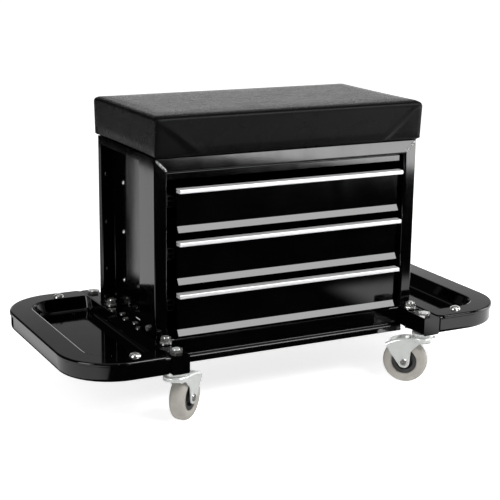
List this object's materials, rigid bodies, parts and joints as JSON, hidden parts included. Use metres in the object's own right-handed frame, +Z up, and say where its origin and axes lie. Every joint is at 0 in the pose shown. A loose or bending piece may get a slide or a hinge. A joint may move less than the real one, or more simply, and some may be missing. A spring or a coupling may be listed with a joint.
{
  "type": "creeper seat",
  "caption": "Rolling workshop seat: padded rectangular seat on a drawer cabinet, with side tool trays and swivel casters.",
  "frame": {"origin": "on the floor under the middle of the seat", "axes": "+X to the sitter's right along the drawers, +Y away from the drawer fronts, +Z up"},
  "size_m": [0.6752, 0.3422, 0.4007],
  "materials": {
    "vinyl": "satin black vinyl, fine grain",
    "plywood": "bare plywood",
    "zinc": "bright zinc plating",
    "black_paint": "gloss black powder coat",
    "slide_steel": "dark oiled drawn steel",
    "aluminium": "satin extruded aluminium",
    "caster_zinc": "bright zinc plating with soft reflections",
    "tread": "smooth light grey tread",
    "hub_plastic": "dark grey moulded plastic"
  },
  "bodies": {
    "chassis": {"seat_cushion": "vinyl", "seat_board": "plywood", "seat_screws": "zinc", "slide_rivets": "zinc", "panel_bolts": "zinc", "tray_screws": "zinc", "tool_eyelets": "zinc", "cabinet_bolts": "zinc", "cabinet_nuts": "zinc", "caster_nuts": "zinc", "cabinet_top": "black_paint", "cabinet_left_side": "black_paint", "cabinet_right_side": "black_paint", "cabinet_back": "black_paint", "cabinet_bottom": "black_paint", "left_beam": "black_paint", "right_beam": "black_paint", "beam_end_caps": "black_paint", "front_rail": "black_paint", "back_rail": "black_paint", "left_tray_tube": "black_paint", "right_tray_tube": "black_paint", "left_tray_pan": "black_paint", "right_tray_pan": "black_paint", "tray_spigots": "black_paint", "left_slide_rails": "slide_steel", "right_slide_rails": "slide_steel", "caster_front_left_head": "caster_zinc", "caster_front_right_head": "caster_zinc", "caster_rear_left_head": "caster_zinc", "caster_rear_right_head": "caster_zinc"},
    "drawer_top": {"drawer_top_box": "black_paint", "drawer_top_front": "black_paint", "drawer_top_pull": "aluminium", "drawer_top_runners": "slide_steel"},
    "drawer_middle": {"drawer_middle_box": "black_paint", "drawer_middle_front": "black_paint", "drawer_middle_pull": "aluminium", "drawer_middle_runners": "slide_steel"},
    "drawer_bottom": {"drawer_bottom_box": "black_paint", "drawer_bottom_front": "black_paint", "drawer_bottom_pull": "aluminium", "drawer_bottom_runners": "slide_steel"},
    "caster_front_left_swivel": {"caster_front_left_fork": "caster_zinc", "caster_front_left_axle": "zinc"},
    "caster_front_left_wheel": {"caster_front_left_tyre": "tread", "caster_front_left_hub": "hub_plastic"},
    "caster_front_right_swivel": {"caster_front_right_fork": "caster_zinc", "caster_front_right_axle": "zinc"},
    "caster_front_right_wheel": {"caster_front_right_tyre": "tread", "caster_front_right_hub": "hub_plastic"},
    "caster_rear_left_swivel": {"caster_rear_left_fork": "caster_zinc", "caster_rear_left_axle": "zinc"},
    "caster_rear_left_wheel": {"caster_rear_left_tyre": "tread", "caster_rear_left_hub": "hub_plastic"},
    "caster_rear_right_swivel": {"caster_rear_right_fork": "caster_zinc", "caster_rear_right_axle": "zinc"},
    "caster_rear_right_wheel": {"caster_rear_right_tyre": "tread", "caster_rear_right_hub": "hub_plastic"}
  },
  "joints": [
    {"name": "drawer_top_slide", "type": "slide", "parent": "chassis", "child": "drawer_top", "axis": [0, -1, 0], "range_m": [0, 0.15]},
    {"name": "drawer_middle_slide", "type": "slide", "parent": "chassis", "child": "drawer_middle", "axis": [0, -1, 0], "range_m": [0, 0.15]},
    {"name": "drawer_bottom_slide", "type": "slide", "parent": "chassis", "child": "drawer_bottom", "axis": [0, -1, 0], "range_m": [0, 0.15]},
    {"name": "caster_front_left_swivel", "type": "hinge", "parent": "chassis", "child": "caster_front_left_swivel", "pos_m": [-0.194, -0.1525, 0.07], "axis": [0, 0, 1], "continuous": true},
    {"name": "caster_front_left_roll", "type": "hinge", "parent": "caster_front_left_swivel", "child": "caster_front_left_wheel", "pos_m": [-0.17485, -0.13643, 0.03175], "axis": [-0.6428, 0.766, 0], "continuous": true},
    {"name": "caster_front_right_swivel", "type": "hinge", "parent": "chassis", "child": "caster_front_right_swivel", "pos_m": [0.194, -0.1525, 0.07], "axis": [0, 0, 1], "continuous": true},
    {"name": "caster_front_right_roll", "type": "hinge", "parent": "caster_front_right_swivel", "child": "caster_front_right_wheel", "pos_m": [0.17602, -0.13513, 0.03175], "axis": [-0.6947, -0.7193, 0], "continuous": true},
    {"name": "caster_rear_left_swivel", "type": "hinge", "parent": "chassis", "child": "caster_rear_left_swivel", "pos_m": [-0.194, 0.1525, 0.07], "axis": [0, 0, 1], "continuous": true},
    {"name": "caster_rear_left_roll", "type": "hinge", "parent": "caster_rear_left_swivel", "child": "caster_rear_left_wheel", "pos_m": [-0.21749, 0.14395, 0.03175], "axis": [0.342, -0.9397, 0], "continuous": true},
    {"name": "caster_rear_right_swivel", "type": "hinge", "parent": "chassis", "child": "caster_rear_right_swivel", "pos_m": [0.194, 0.1525, 0.07], "axis": [0, 0, 1], "continuous": true},
    {"name": "caster_rear_right_roll", "type": "hinge", "parent": "caster_rear_right_swivel", "child": "caster_rear_right_wheel", "pos_m": [0.21565, 0.14, 0.03175], "axis": [0.5, 0.866, 0], "continuous": true}
  ]
}
